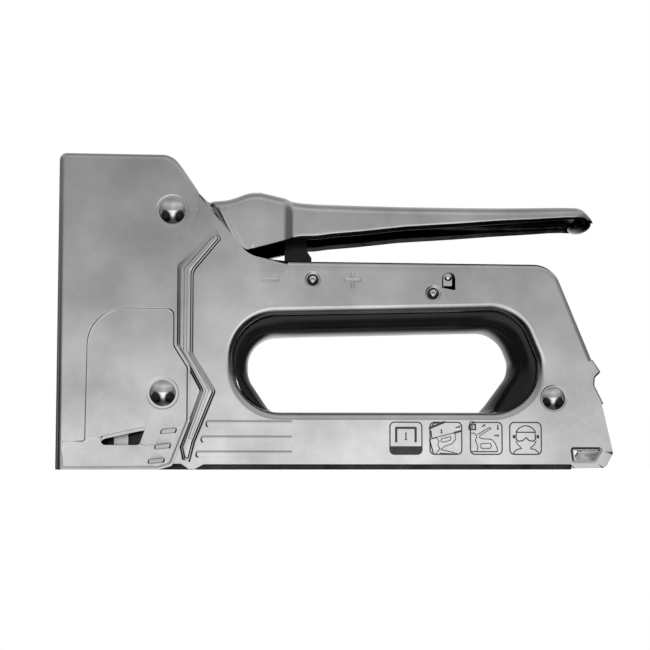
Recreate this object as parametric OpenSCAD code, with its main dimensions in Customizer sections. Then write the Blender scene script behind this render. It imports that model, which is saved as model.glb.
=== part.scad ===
// Hand staple gun in pressed steel: two body shells, a nose cover, a squeeze handle,
// a sprung striker and a pull-out magazine. X runs from nose to tail, Y across, Z up.

/* [Body] */
// Overall length, nose to tail
tool_length = 185.3; // [185:0.1:186]
// Overall height of the head
head_height = 105; // [104.8:0.1:106]
// Half of the body's width over its two shells
body_half = 13; // [13:0.1:14]
// Sheet thickness of the body shells
shell_sheet = 1.2; // [0.8:0.1:1.2]
// Sheet thickness of the nose cover
cover_sheet = 1; // [0.8:0.1:1.2]

/* [Handle] */
// Half of the grip's width
grip_half = 11; // [10.8:0.1:11.4]
// Sheet thickness of the handle
handle_sheet = 1.5; // [1.2:0.1:1.5]
// How far the front arms reach from the pivot
lever_reach = 27; // [26:0.1:27]

/* [Striker] */
// Outer diameter of the plunger
plunger_d = 15; // [14:0.1:15]
// Length of the power spring at rest
spring_length = 49.2; // [49:0.1:49.4]
// Number of turns in the power spring
spring_turns = 9; // [8:1:10]

/* [Magazine] */
// Half of the inner width of the magazine channel
staple_half = 5.7; // [5.7:0.05:5.8]
// Thickness of the driver blade
blade_sheet = 1.3; // [1.1:0.1:1.3]
// Number of turns in the pusher spring
pusher_turns = 36; // [30:1:40]

/* [Hidden] */
$fn = 48;

nose_x = -tool_length / 2;
tail_x = tool_length / 2;
cover_gap = 0.05;
cover_inner = body_half + cover_gap;
cover_half = cover_inner + cover_sheet;
room_half = body_half - shell_sheet;
seam = 0.1;
fit = 0.05;
beyond = 40;

// Places of the pins and rivets, as [x, z]
pivot = [-55.2, 85.6];
front_joint = [-57.9, 25.1];
rear_joint = [72.5, 23.9];
adjuster_at = [-8.6, 63.3];
latch_at = [31.9, 59.1];
rivet_d = 5.9;
small_pin_d = 3.6;
pin_proud = 0.3;

// The head's slope, falling from the top of the cover to the handle
slope_top_x = -57;

// Striker
plunger_x = -81;
plunger_low = 46;
plunger_high = 88;
plunger_floor = 52.2;
blade_x = -90;
blade_half = 5.2;
blade_pin_z = 49;

// Magazine
channel_front = -88.3;
channel_sheet = 1.2;
channel_top = 16.2;
rail_half = 4.2;
rail_top = 12.8;
rail_sheet = 0.8;
foot_half = 11.4;
foot_top = 1.5;
rail_rear = 78.6;
rod_z = 7.4;
pusher_front = -88;
pusher_rear = -70;

// Corners are [x, z, radius] and run anticlockwise
shell_corners = [
    [-91.5, 2, 0], [-51.8, 2, 0.5], [-49.2, 0.2, 0.5], [-47.4, 0.2, 0.5], [-44.5, 1.8, 1],
    [78, 1.8, 0.6], [80, 0.4, 0.6], [89.8, 0.4, 2.2], [tail_x - 0.05, 5.5, 2],
    [89.6, 22.5, 3], [86.7, 28.4, 1.2], [86.9, 31, 0.8], [89, 33, 0.8], [86.2, 37, 1.5],
    [73, 69.6, 9], [-16, 69.7, 20], [-29.6, 70.5, 8], [-37.4, 77.6, 2],
    [slope_top_x + 1, 103.6, 5], [-91.5, 103.6, 1.5]
];
cover_corners = [
    [nose_x, 0, 0], [-59.3, 0, 0.8], [-54.6, 1.3, 1.5], [-49, 16, 2], [-49, 34, 2.5],
    [-53.4, 41, 2.5], [-53.4, 68.5, 4], [-47, 86, 20], [-46.4, 91.2, 0],
    [slope_top_x, head_height, 6], [nose_x, head_height, 2.5]
];
// Inner side of the flange along the shell's top and back
flange_corners = [
    [-60, 10, 0], [90.6, 10, 0], [88.2, 22, 2], [85, 31, 2], [72.2, 69.7 - shell_sheet, 8],
    [-60, 69.7 - shell_sheet, 0]
];
opening_corners = [
    [-34.8, 19, 16], [60.4, 19.2, 10], [69, 32, 8], [60.4, 53.6, 12], [-34.8, 50.9, 15]
];
grip_corners = [
    [46, 14, 0], [61.4, 34.5, 8], [56.5, 47.8, 10], [-30.3, 45.2, 10], [-30.3, 31, 8],
    [-19, 14, 0]
];
window_corners = [
    [-78.2, 8, 1.5], [-65.3, 8, 1.2], [-63.1, 14.25, 1], [-77.4, 11.05, 1.3]
];
rear_slot_corners = [
    [80.3, 3.1, 0.6], [86, 3.1, 0.6], [88.8, 6.6, 0.6], [79.5, 6.6, 0.6]
];
latch_slot_corners = [
    [34.4, 61, 0.3], [39.6, 59.7, 0.3], [39.6, 66.7, 2.4], [34.4, 66.7, 2.4]
];

function unit(v) = v / norm(v);

// Points on the arc that rounds corner q, on the way from p to n
function corner_arc(p, q, n) =
    let (here = [q[0], q[1]], back = unit([p[0], p[1]] - here), on = unit([n[0], n[1]] - here),
         open = acos(back * on), centre = here + unit(back + on) * q[2] / sin(open / 2),
         reach = q[2] / tan(open / 2), first = here + back * reach - centre,
         sweep = 180 - open, side = back[0] * on[1] - back[1] * on[0],
         steps = max(2, ceil(sweep / 12)), a = atan2(first[1], first[0]))
    [for (i = [0:steps])
        let (t = a - sign(side) * sweep * i / steps) centre + q[2] * [cos(t), sin(t)]];

function rounded(c) = [
    for (i = [0:len(c) - 1])
        let (p = c[(i + len(c) - 1) % len(c)], q = c[i], n = c[(i + 1) % len(c)])
        each q[2] == 0 ? [[q[0], q[1]]] : corner_arc(p, q, n)
];

// The same corners with every side moved outwards by d
function grown(c, d) = [
    for (i = [0:len(c) - 1])
        let (p = c[(i + len(c) - 1) % len(c)], q = c[i], n = c[(i + 1) % len(c)],
             e = unit([q[0] - p[0], q[1] - p[1]]), f = unit([n[0] - q[0], n[1] - q[1]]),
             a = [e[1], -e[0]], b = [f[1], -f[0]], s = (a + b) / (1 + a * b),
             left = e[0] * f[1] - e[1] * f[0])
        [q[0] + s[0] * d, q[1] + s[1] * d, q[2] == 0 ? 0 : max(0.2, q[2] + sign(left) * d)]
];

module across(y0, y1) translate([0, y1, 0]) rotate([90, 0, 0]) linear_extrude(y1 - y0) children();

module outline(c) polygon(rounded(c));

module pin(at, d, y0, y1) translate([at[0], y1, at[1]]) rotate([90, 0, 0]) cylinder(d = d, h = y1 - y0);

module both() {
    children();
    mirror([0, 1, 0]) children();
}

// A shallow round head that stands on the plane Y = y0 and faces +Y
module domed_head(at, d, height, y0) {
    r = (d * d / 4 + height * height) / (2 * height);
    intersection() {
        translate([at[0], y0 + height - r, at[1]]) sphere(r);
        pin(at, d + 1, y0, y0 + height + 1);
    }
}

// Round wire along a helix that stands on Z = 0, with closed ends
module coil(length, radius, wire, turns, per_turn, sides) {
    steps = turns * per_turn;
    rise = (length - 2 * wire) / steps;
    points = [for (i = [0:steps]) let (a = 360 * i / per_turn)
        for (k = [0:sides - 1]) let (b = 360 * k / sides, r = radius + wire * cos(b))
            [r * cos(a), r * sin(a), wire + rise * i + wire * sin(b)]];
    walls = [for (i = [0:steps - 1]) for (k = [0:sides - 1])
        let (m = (k + 1) % sides, a = i * sides, b = a + sides)
        each [[a + k, a + m, b + m], [a + k, b + m, b + k]]];
    start = [for (k = [sides - 1:-1:0]) k];
    finish = [for (k = [0:sides - 1]) steps * sides + k];
    polyhedron(points, concat([start], walls, [finish]));
}

module shell_half(with_latch_slot) difference() {
    union() {
        across(-body_half, -room_half) outline(shell_corners);
        across(-body_half, -seam) intersection() {
            difference() {
                outline(shell_corners);
                outline(flange_corners);
            }
            polygon([[-26, 80], [-26, 64], [60, 64], [78, 18], [tail_x, 18], [tail_x, 80]]);
        }
        across(-body_half, -seam) outline(grown(opening_corners, shell_sheet));
    }
    across(-beyond, beyond) outline(opening_corners);
    across(-beyond, beyond) outline(window_corners);
    across(-beyond, beyond) outline(rear_slot_corners);
    if (with_latch_slot) across(-beyond, -room_half + 1) outline(latch_slot_corners);
    translate([-18.4, -3.7, 60]) cube([11.4, 7.4, 20]);
    pin(pivot, rivet_d + 2 * fit, -beyond, beyond);
    pin(front_joint, rivet_d + 2 * fit, -beyond, beyond);
    pin(rear_joint, rivet_d + 2 * fit, -beyond, beyond);
    pin(adjuster_at, small_pin_d + 2 * fit, -beyond, beyond);
    pin(latch_at, small_pin_d + 2 * fit, -beyond, beyond);
}

module left_shell() color("silver") shell_half(true);

module right_shell() color("silver") mirror([0, 1, 0]) shell_half(false);

module nose_cover() color("silver") difference() {
    across(-cover_half, cover_half) outline(cover_corners);
    across(-cover_inner, cover_inner) polygon([
        [nose_x + cover_sheet, -1], [nose_x + cover_sheet, head_height - cover_sheet],
        [slope_top_x, head_height - cover_sheet], [slope_top_x, head_height + 1],
        [-30, head_height + 1], [-30, -1]
    ]);
    across(-beyond, beyond) outline(window_corners);
    pin(pivot, rivet_d + 2 * fit, -beyond, beyond);
    pin(front_joint, rivet_d + 2 * fit, -beyond, beyond);
}

module nose_plate() color("dimgray")
    translate([nose_x + cover_sheet + 0.05, -11.7, 0]) cube([1.4, 23.4, 60]);

// Each layer is narrower across and stands further into the opening
module finger_grip() color("black") union() {
    for (layer = [[12.2, 4.4], [10.6, 2.6], [8, 1.1], [4.4, 0]])
        across(-layer[0], layer[0]) difference() {
            outline(grown(opening_corners, -seam));
            outline(grown(grip_corners, layer[1]));
        }
}

module shell_rivet(at, head_d, head_height, seat) {
    pin(at, rivet_d, -seat, seat);
    both() domed_head(at, head_d, head_height, seat);
}

module pivot_rivet() color("silver") shell_rivet(pivot, 8.8, 1.9, cover_half);

module front_rivet() color("silver") shell_rivet(front_joint, 8.6, 1.9, cover_half);

module rear_rivet() color("silver") shell_rivet(rear_joint, 7.9, 1.8, body_half);

module bush(at, d, bore, half) difference() {
    pin(at, d, -half, half);
    pin(at, bore, -half - 1, half + 1);
}

module spacer_bushes() color("gray") {
    bush(front_joint, 9, rivet_d + 2 * fit, room_half);
    bush(rear_joint, 8, rivet_d + 2 * fit, room_half);
}

module magazine_channel() color("dimgray") difference() {
    outer = staple_half + channel_sheet;
    union() {
        translate([channel_front, -outer, 1.9])
            cube([77.5 - channel_front, 2 * outer, channel_top - 1.9]);
        for (x = [-72, -24, 44])
            translate([x, -room_half, channel_top - channel_sheet])
                cube([14, 2 * room_half, channel_sheet]);
    }
    translate([channel_front - 1, -staple_half, 0])
        cube([170, 2 * staple_half, channel_top - channel_sheet]);
    across(-beyond, beyond) outline(window_corners);
}

// Back plate that the plunger runs against, with a shelf for the bumper
module striker_guide() color("dimgray") {
    translate([-73.1, -11.7, 30]) cube([1.2, 23.4, 42]);
    translate([-88.2, -11.7, 30]) cube([15.5, 23.4, 2]);
}

module bumper() color("black") difference() {
    translate([-87.8, -7, 32]) cube([14.2, 14, 13.6]);
    translate([plunger_x, 0, 41]) cylinder(d = 5, h = 5);
}

module spring_cap() color("gray") {
    translate([-91.4, -11.7, 101.6]) cube([30, 23.4, 1.8]);
    translate([plunger_x, 0, 96]) cylinder(d = 7, h = 6);
}

module power_spring() color("silver")
    translate([plunger_x, 0, plunger_floor + 0.1]) coil(spring_length, 5.05, 1, spring_turns, 20, 8);

module lock_pin() color("silver")
    pin(latch_at, small_pin_d, -body_half - pin_proud, body_half + pin_proud);

module slide_catch() color("silver")
    across(-4, 4) polygon([
        [60, 17.2], [76, 16.9], [77, 18.4], [80, 18.6],
        [80, 19.2], [76.6, 19], [75.6, 17.6], [60, 17.8]
    ]);

knuckle_corners = [
    [-31.4, 72.9, 0.6], [-18, 76.6, 1], [-16.6, 78.6, 1], [-12, 78.7, 0], [-12, 88.7, 0],
    [-20, 91, 10], [-27, 92.8, 5], [-34, 90.4, 10], [-42, 89.2, 0], [-36.2, 77.2, 1.5]
];
lever_front_corners = [
    [-48, 78.5, 4], [-37, 78.5, 0], [-33, 76, 0], [-30, 89, 0],
    [-43, 89.1, 0], [-52, 94.2, 6], [-64, 94, 8], [-64, 77.2, 8]
];
grip_top = [[-6, 88.7], [21, 88.6], [49, 89.1], [81.5, 89.5]];
grip_low = [[76, 85.8], [42, 83.5], [8, 80.6], [-2.5, 79.5], [-7, 78.8], [-16, 78.7]];

// A channel that is open downwards and rounded in plan at its tip
module grip_channel() intersection() {
    difference() {
        across(-grip_half, grip_half) polygon(concat([[90.6, 85.2]], [[90.3, 86.8]], [[86.8, 88.9]],
            [for (i = [len(grip_top) - 1:-1:0]) grip_top[i]], [[-16, 90.1]], [[-16, 78.7]],
            [for (i = [len(grip_low) - 2:-1:0]) grip_low[i]], [[88, 86.2]]));
        across(handle_sheet - grip_half, grip_half - handle_sheet) polygon(concat(
            [[87, 80]], [[87, 86.6]], [[84, 88.1]],
            [for (i = [len(grip_top) - 2:-1:0]) grip_top[i] - [0, handle_sheet]],
            [[-17, 88.4]], [[-17, 70]], [[83, 70]]));
    }
    linear_extrude(200) outline([
        [-20, -grip_half, 0], [91, -grip_half, 9], [91, grip_half, 9], [-20, grip_half, 0]
    ]);
}

module handle_shell() color("silver") difference() {
    union() {
        grip_channel();
        difference() {
            across(-body_half, body_half) intersection() {
                outline(knuckle_corners);
                polygon([[-60, 60], [-15.6, 60], [-15.6, 100], [-60, 100]]);
            }
            across(-11.3, 11.3) outline(grown(knuckle_corners, -handle_sheet));
            across(-11.3, 11.3) polygon([[-41, 70], [-17.1, 70], [-17.1, 87], [-36, 87], [-39.4, 86]]);
            across(-9.7, 9.7) polygon([[-44, 70], [-36, 70], [-36, 87.4], [-44, 87.4]]);
            across(-9.5, 9.5) polygon([[-20, 70], [-10, 70], [-10, 87.2], [-20, 88]]);
        }
        difference() {
            across(-11.3, 11.3) outline(lever_front_corners);
            across(-9.7, 9.7) polygon([
                [-80, 70], [-20, 70], [-20, 87.6], [-43, 87.6], [-47, 90.5], [-47, 100], [-80, 100]
            ]);
            across(-beyond, beyond) polygon([[-39.5, 70], [-26, 70], [-26, 87], [-36, 87]]);
        }
    }
    pin(pivot, 9.1, -beyond, beyond);
    pin([-46.6, 84.6], 4.1, -beyond, beyond);
}

lever_corners = [
    [-62, 79.4, 5], [-44, 79.8, 4], [-30, 83, 2], [-18, 83, 1], [-18, 85, 1], [-44, 86, 3],
    [-57, 93, 8], [-lever_reach * 0.94 + pivot[0], 94.4, 2], [-lever_reach * 0.975 + pivot[0], 88.4, 2]
];

module lift_lever() color("dimgray") difference() {
    union() {
        both() across(7.9, 9.5) outline(lever_corners);
        translate([-40, -8, 83.5]) cube([31, 16, 1.5]);
    }
    pin(pivot, 9.1, -beyond, beyond);
    pin([-46.6, 84.6], 4.1, -beyond, beyond);
}

module catch_tongue() color("black") across(-3.2, 3.2) polygon([
    [-17.8, 83.4], [-17.8, 67.2], [-9.6, 67.2], [-8.6, 68.2], [-8.6, 72.5], [-10.4, 75.4], [-10.4, 83.4]
]);

module lever_pin() color("silver") pin([-46.6, 84.6], 4, -11.3, 11.3);

module pivot_bush() color("gray") bush(pivot, 9, rivet_d + 2 * fit, 11.3);

module plunger() color("gray") difference() {
    union() {
        translate([plunger_x, 0, plunger_low]) cylinder(d = plunger_d, h = plunger_high - plunger_low);
        translate([-88, -10, 83.2]) cube([4.9, 20, 3]);
    }
    translate([plunger_x, 0, plunger_floor]) cylinder(d = 12.6, h = 50);
    translate([-92, 0, blade_pin_z]) rotate([0, 90, 0]) cylinder(d = 3.1, h = 8);
    translate([-92, -6, 40]) cube([3.6, 12, 60]);
}

module driver_blade() color("silver") difference() {
    translate([blade_x, -blade_half, 0.5]) cube([blade_sheet, 2 * blade_half, 55]);
    translate([-92, 0, blade_pin_z]) rotate([0, 90, 0]) cylinder(d = 3.1, h = 8);
}

module blade_pin() color("silver")
    translate([blade_x, 0, blade_pin_z]) rotate([0, 90, 0]) cylinder(d = 3, h = 5.8);

module slide_rail() color("silver") difference() {
    union() {
        translate([channel_front, -rail_half, 0])
            cube([rail_rear - channel_front, 2 * rail_half, rail_top]);
        translate([-47, -foot_half, 0]) cube([rail_rear + 47, 2 * foot_half, foot_top]);
    }
    translate([channel_front + 1.2, rail_sheet - rail_half, 2.4])
        cube([170, 2 * (rail_half - rail_sheet), rail_top]);
    translate([channel_front - 1, 0, rod_z]) rotate([0, 90, 0]) cylinder(d = 2.1, h = 4);
    pin([75, 4.6], 2.6, -beyond, beyond);
}

module slide_end_cap() color("gray") difference() {
    union() {
        across(-foot_half, foot_half) outline([
            [78.8, 0.3, 0], [89.4, 0.4, 2], [91.6, 5.5, 2], [89.8, 16.3, 1.5], [78.8, 16.3, 0]
        ]);
        translate([66, 0.1 + rail_sheet - rail_half, 2.6])
            cube([13, 2 * (rail_half - rail_sheet) - 0.2, 9.6]);
    }
    across(-beyond, beyond) outline(rear_slot_corners);
    translate([65, 0, rod_z]) rotate([0, 90, 0]) cylinder(d = 2.1, h = 12);
    pin([75, 4.6], 2.6, -beyond, beyond);
}

module end_cap_rivet() color("silver") pin([75, 4.6], 2.5, -rail_half, rail_half);

module guide_rod() color("silver")
    translate([channel_front, 0, rod_z]) rotate([0, 90, 0]) cylinder(d = 2, h = 76 - channel_front);

module staple_pusher() color("silver") {
    length = pusher_rear - pusher_front;
    difference() {
        translate([pusher_front, -5.4, 2]) cube([length, 10.8, 12.6]);
        translate([pusher_front - 1, -4.5, 0]) cube([length + 2, 9, 13.1]);
        translate([pusher_front + 1.5, -beyond, 5.5]) cube([11.8, 2 * beyond, 6]);
    }
    difference() {
        translate([-76, -3.1, 3]) cube([6, 6.2, 10.2]);
        translate([-80, 0, rod_z]) rotate([0, 90, 0]) cylinder(d = 2.2, h = 20);
    }
}

module pusher_spring() color("silver")
    translate([pusher_rear + 0.1, 0, rod_z]) rotate([0, 90, 0])
        coil(65.8 - pusher_rear, 2.3, 0.35, pusher_turns, 10, 4);

module lock_latch() color("gray") difference() {
    union() {
        pin(latch_at, 7.4, -4, 4);
        across(-1.5, 1.5) polygon([
            [34, 57.4], [34, 60.8], [4, 61], [2, 63.4], [-3.4, 63], [-3.4, 59.6], [0, 57.6]
        ]);
        across(-body_half - 0.2, -1.5) outline([
            [35.3, 61.6, 0.2], [38.2, 61.6, 0.2], [38.2, 65.9, 1.3], [35.3, 65.9, 1.3]
        ]);
        across(-4, 1.5) polygon([[31, 60], [35.4, 60], [38.2, 61.7], [38.2, 64], [33, 62.6]]);
    }
    pin(latch_at, small_pin_d + 2 * fit, -beyond, beyond);
}

module power_adjuster() color("gray") {
    pin(adjuster_at, small_pin_d, -body_half - pin_proud, body_half + pin_proud);
    intersection() {
        pin(adjuster_at, 5.6, -6, 6);
        translate([-20, -6, 61.6]) cube([20, 12, 10]);
    }
}

left_shell();
right_shell();
nose_cover();
nose_plate();
finger_grip();
pivot_rivet();
front_rivet();
rear_rivet();
spacer_bushes();
magazine_channel();
striker_guide();
bumper();
spring_cap();
power_spring();
lock_pin();
slide_catch();
handle_shell();
lift_lever();
catch_tongue();
lever_pin();
pivot_bush();
plunger();
driver_blade();
blade_pin();
slide_rail();
slide_end_cap();
end_cap_rivet();
guide_rod();
staple_pusher();
pusher_spring();
lock_latch();
power_adjuster();
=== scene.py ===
from math import cos, exp, pi, radians, sin, tan

import bmesh
import bpy
from mathutils import Matrix, Vector
from mathutils.geometry import delaunay_2d_cdt


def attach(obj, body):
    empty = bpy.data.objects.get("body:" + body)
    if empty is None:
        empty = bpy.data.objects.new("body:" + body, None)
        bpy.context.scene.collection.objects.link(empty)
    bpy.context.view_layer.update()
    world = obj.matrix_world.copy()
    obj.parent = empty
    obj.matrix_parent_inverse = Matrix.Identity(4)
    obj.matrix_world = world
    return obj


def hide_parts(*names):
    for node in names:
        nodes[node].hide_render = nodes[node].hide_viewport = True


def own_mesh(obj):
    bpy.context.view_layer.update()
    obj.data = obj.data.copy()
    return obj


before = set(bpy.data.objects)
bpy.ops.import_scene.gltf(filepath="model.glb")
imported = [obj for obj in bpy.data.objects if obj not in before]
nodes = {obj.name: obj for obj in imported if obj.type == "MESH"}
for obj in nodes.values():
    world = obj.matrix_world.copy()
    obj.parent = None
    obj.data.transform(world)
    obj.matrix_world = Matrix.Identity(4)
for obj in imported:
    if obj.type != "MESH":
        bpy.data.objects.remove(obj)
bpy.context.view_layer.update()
mm = 0.001
print("frame loaded")


# the camera, the floor and the light
shot = {
    "place": (-23.97, -346.8, 1.0),     # millimetres
    "turn": 3.417,                      # degrees towards the tail
    "lift": 3.22,                       # degrees above the horizon
    "lens": 55.96,
    "sensor": 36,
    "shiftAcross": -0.0022,
    "shiftUp": 0.1305,
    "nearest": 0.01,
}
ground = {"half": 4, "drop": 0.0002, "grey": 0.9, "rough": 0.9, "glow": 0.6}


def grey(level):
    return (level, level, level, 1)


def makeCamera():
    data = bpy.data.cameras.new("camera")
    data.lens = shot["lens"]
    data.sensor_width = shot["sensor"]
    data.shift_x = shot["shiftAcross"]
    data.shift_y = shot["shiftUp"]
    data.clip_start = shot["nearest"]
    camera = bpy.data.objects.new("camera", data)
    camera.location = Vector(shot["place"]) * mm
    camera.rotation_euler = (radians(90 + shot["lift"]), 0, radians(-shot["turn"]))
    bpy.context.scene.collection.objects.link(camera)
    bpy.context.scene.camera = camera


def makeFloor():
    bm = bmesh.new()
    bmesh.ops.create_grid(bm, x_segments=1, y_segments=1, size=ground["half"])
    mesh = bpy.data.meshes.new("floor")
    bm.to_mesh(mesh)
    bm.free()
    floor = bpy.data.objects.new("floor", mesh)
    floor.location.z = -ground["drop"]
    bpy.context.scene.collection.objects.link(floor)
    mat = bpy.data.materials.new("paleFloor")
    mat.use_nodes = True
    shader = mat.node_tree.nodes["Principled BSDF"]
    shader.inputs["Base Color"].default_value = grey(ground["grey"])
    shader.inputs["Roughness"].default_value = ground["rough"]
    shader.inputs["Emission Color"].default_value = grey(1)
    shader.inputs["Emission Strength"].default_value = ground["glow"]
    mesh.materials.append(mat)
    floor.visible_glossy = False    # the metal mirrors the studio below, not the floor


studio = {
    # brightness by height, from straight down (-1) to straight up (1)
    "height": [
        (-1, 0.08), (-0.8, 0.1), (-0.62, 0.4), (-0.48, 1.1), (-0.05, 1.28),
        (0.05, 1.25), (0.095, 1.0), (0.14, 0.6), (0.18, 0.53), (0.23, 0.48),
        (0.29, 0.53), (0.5, 0.55), (0.77, 0.75), (0.95, 0.45), (1, 0.35),
    ],
    # and across, from the nose's end (-1) to the tail's (1)
    "across": [
        (-1, 0.34), (-0.93, 0.42), (-0.75, 0.66), (-0.3, 0.74), (-0.1, 0.87), (0.08, 1.0),
        (0.3, 0.86), (0.75, 0.7), (0.93, 0.36), (1, 0.28),
    ],
    "darkCard": (0.75, -0.5, -0.42),
    "cardEdge": (0.72, 0.86),           # where the card's soft edge starts and ends
    "cardTone": 0.03,
    "lampPlace": (0.1, -0.25, 0.9),
    "lampSize": 0.9,
    "lampPower": 9,
}


def makeLight():
    data = bpy.data.lights.new("softbox", "AREA")
    data.size = studio["lampSize"]
    data.energy = studio["lampPower"]
    lamp = bpy.data.objects.new("softbox", data)
    lamp.location = studio["lampPlace"]
    lamp.rotation_euler = (-Vector(studio["lampPlace"])).to_track_quat("-Z", "Y").to_euler()
    lamp.visible_glossy = False
    bpy.context.scene.collection.objects.link(lamp)


patternSpan = (0.3, 0.7)                # what a noise pattern mostly stays within


def ranged(tree, source, low, high, span=patternSpan):
    node = tree.nodes.new("ShaderNodeMapRange")
    node.inputs["From Min"].default_value = span[0]
    node.inputs["From Max"].default_value = span[1]
    node.inputs["To Min"].default_value = low
    node.inputs["To Max"].default_value = high
    tree.links.new(source, node.inputs["Value"])
    return node.outputs["Result"]


def levelRamp(tree, source, stops):
    height = tree.nodes.new("ShaderNodeMapRange")
    height.inputs["From Min"].default_value = -1
    tree.links.new(source, height.inputs["Value"])
    ramp = tree.nodes.new("ShaderNodeValToRGB")
    tree.links.new(height.outputs["Result"], ramp.inputs["Fac"])
    elements = ramp.color_ramp.elements
    while len(elements) < len(stops):
        elements.new(0.5)
    # all the positions come first, because the stops sort themselves by position
    for element, (place, level) in zip(elements, stops):
        element.position = (place + 1) / 2
    for element, (place, level) in zip(elements, stops):
        element.color = grey(level)
    return ramp.outputs["Color"]


def multiplied(tree, a, b):
    node = tree.nodes.new("ShaderNodeVectorMath")
    node.operation = "MULTIPLY"
    tree.links.new(a, node.inputs[0])
    tree.links.new(b, node.inputs[1])
    return node.outputs["Vector"]


def makeWorld():
    # white to look at, and a graded studio in what the metal mirrors
    world = bpy.data.worlds.new("studio")
    world.use_nodes = True
    tree = world.node_tree
    tree.nodes.clear()
    link = tree.links.new
    direction = tree.nodes.new("ShaderNodeTexCoord")
    split = tree.nodes.new("ShaderNodeSeparateXYZ")
    link(direction.outputs["Generated"], split.inputs[0])
    light = multiplied(tree, levelRamp(tree, split.outputs["Z"], studio["height"]),
                       levelRamp(tree, split.outputs["X"], studio["across"]))
    # two dark cards below the tool, one each side of a bright gap, in front and behind
    folded = tree.nodes.new("ShaderNodeCombineXYZ")
    for axis, sign in (("X", 1), ("Y", -1)):
        size = tree.nodes.new("ShaderNodeMath")
        size.operation = "ABSOLUTE"
        link(split.outputs[axis], size.inputs[0])
        turn = tree.nodes.new("ShaderNodeMath")
        turn.operation = "MULTIPLY"
        turn.inputs[1].default_value = sign
        link(size.outputs[0], turn.inputs[0])
        link(turn.outputs[0], folded.inputs[axis])
    link(split.outputs["Z"], folded.inputs["Z"])
    near = tree.nodes.new("ShaderNodeVectorMath")
    near.operation = "DOT_PRODUCT"
    near.inputs[1].default_value = Vector(studio["darkCard"]).normalized()
    link(folded.outputs[0], near.inputs[0])
    card = ranged(tree, near.outputs["Value"], 1.0, studio["cardTone"], studio["cardEdge"])
    light = multiplied(tree, light, card)
    graded = tree.nodes.new("ShaderNodeBackground")
    link(light, graded.inputs["Color"])
    white = tree.nodes.new("ShaderNodeBackground")
    white.inputs["Color"].default_value = grey(1)
    rays = tree.nodes.new("ShaderNodeLightPath")
    mix = tree.nodes.new("ShaderNodeMixShader")
    link(rays.outputs["Is Camera Ray"], mix.inputs["Fac"])
    link(graded.outputs[0], mix.inputs[1])
    link(white.outputs[0], mix.inputs[2])
    out = tree.nodes.new("ShaderNodeOutputWorld")
    link(mix.outputs[0], out.inputs["Surface"])
    bpy.context.scene.world = world


makeCamera()
makeFloor()
makeLight()
makeWorld()
bpy.context.scene.view_settings.view_transform = "Standard"
print("studio ready")


# the materials
def startMaterial(name):
    mat = bpy.data.materials.new(name)
    mat.use_nodes = True
    tree = mat.node_tree
    return mat, tree, tree.nodes["Principled BSDF"]


def noise(tree, scale, detail, stretch=(1, 1, 1)):
    # a pattern in the piece's own coordinates
    where = tree.nodes.new("ShaderNodeTexCoord")
    mapping = tree.nodes.new("ShaderNodeMapping")
    mapping.inputs["Scale"].default_value = stretch
    tree.links.new(where.outputs["Object"], mapping.inputs["Vector"])
    pattern = tree.nodes.new("ShaderNodeTexNoise")
    pattern.inputs["Scale"].default_value = scale
    pattern.inputs["Detail"].default_value = detail
    tree.links.new(mapping.outputs["Vector"], pattern.inputs["Vector"])
    return pattern.outputs["Fac"]


def tinted(tree, shader, source, dark, light):
    ramp = tree.nodes.new("ShaderNodeValToRGB")
    for element, place, level in zip(ramp.color_ramp.elements, patternSpan, (dark, light)):
        element.position = place
        element.color = grey(level)
    tree.links.new(source, ramp.inputs["Fac"])
    tree.links.new(ramp.outputs["Color"], shader.inputs["Base Color"])


def bumped(tree, shader, layers):
    # layers are (source, strength, distance in metres), the last one on top
    below = None
    for source, strength, distance in layers:
        bump = tree.nodes.new("ShaderNodeBump")
        bump.inputs["Strength"].default_value = strength
        bump.inputs["Distance"].default_value = distance
        tree.links.new(source, bump.inputs["Height"])
        if below:
            tree.links.new(below, bump.inputs["Normal"])
        below = bump.outputs["Normal"]
    tree.links.new(below, shader.inputs["Normal"])


# what all the steels share: patterns as (scale, detail), depths in metres
steelPattern = {
    "cloud": (50, 7),
    "rub": (900, 5),
    "smear": (70, 6),
    "smearShare": 0.6,
    "swell": (22, 1),
    "swellDepth": 0.0012,
    "scratchDepth": 0.00001,
}


def steel(name, tones, rough, grain=(1, 1, 1), wave=0.25, scratch=0.05):
    mat, tree, shader = startMaterial(name)
    shader.inputs["Metallic"].default_value = 1
    tinted(tree, shader, noise(tree, *steelPattern["cloud"]), *tones)
    rub = noise(tree, *steelPattern["rub"], grain)
    blend = tree.nodes.new("ShaderNodeMix")
    blend.data_type = "FLOAT"
    blend.inputs["Factor"].default_value = steelPattern["smearShare"]
    tree.links.new(rub, blend.inputs["A"])
    tree.links.new(noise(tree, *steelPattern["smear"]), blend.inputs["B"])
    tree.links.new(ranged(tree, blend.outputs["Result"], *rough), shader.inputs["Roughness"])
    bumped(tree, shader, [(noise(tree, *steelPattern["swell"]), wave, steelPattern["swellDepth"]),
                          (rub, scratch, steelPattern["scratchDepth"])])
    return mat


def coating(name, look):
    mat, tree, shader = startMaterial(name)
    shader.inputs["Metallic"].default_value = look["metal"]
    shader.inputs["Specular IOR Level"].default_value = look["shine"]
    cloud = noise(tree, *look["cloud"])
    tinted(tree, shader, cloud, *look["tones"])
    tree.links.new(ranged(tree, cloud, *look["rough"]), shader.inputs["Roughness"])
    if "grain" in look:
        bumped(tree, shader, [(noise(tree, *look["grain"]), *look["bump"])])
    return mat


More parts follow.
